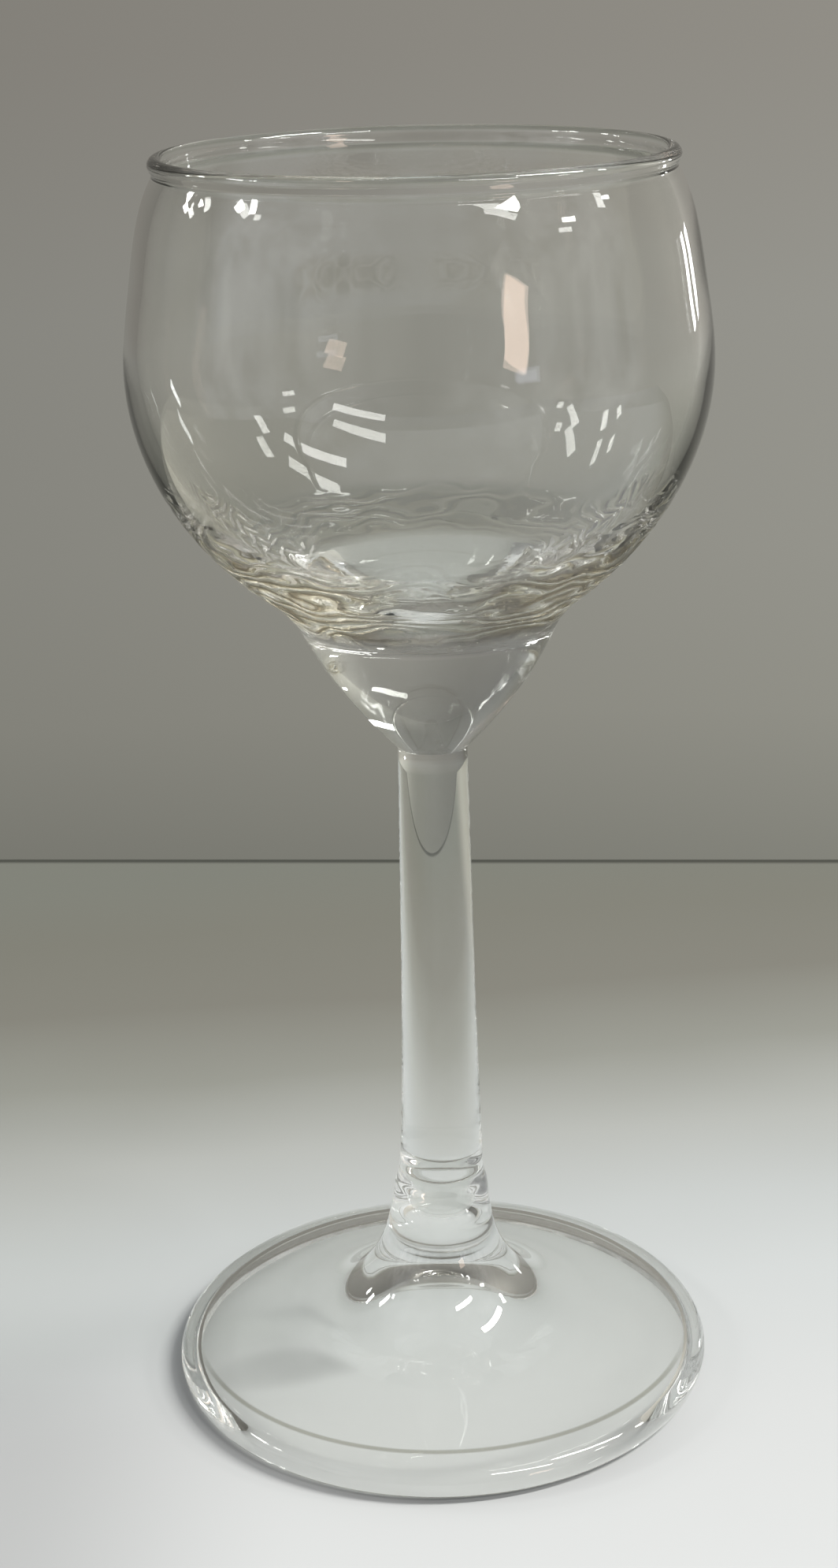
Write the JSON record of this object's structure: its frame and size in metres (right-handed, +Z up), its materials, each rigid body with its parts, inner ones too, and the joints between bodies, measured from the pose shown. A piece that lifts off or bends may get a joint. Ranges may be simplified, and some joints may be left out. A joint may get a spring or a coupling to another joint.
{
  "type": "liqueur glass",
  "caption": "Clear stemmed liqueur glass in one piece: ball-shaped bowl with a melted rim, solid cone, solid tapering stem and a round foot with a hollow underside",
  "frame": {"origin": "middle of the ring that the foot stands on, at table height", "axes": "+Z up along the glass's axis of turning; +X and +Y lie in the table plane and are alike, because the glass is round"},
  "size_m": [0.056, 0.056, 0.126],
  "materials": {
    "clear_glass": "clear fire-polished soda-lime glass, very slightly warm in its thick parts"
  },
  "bodies": {
    "root": {"liqueur_glass": "clear_glass"}
  },
  "joints": []
}
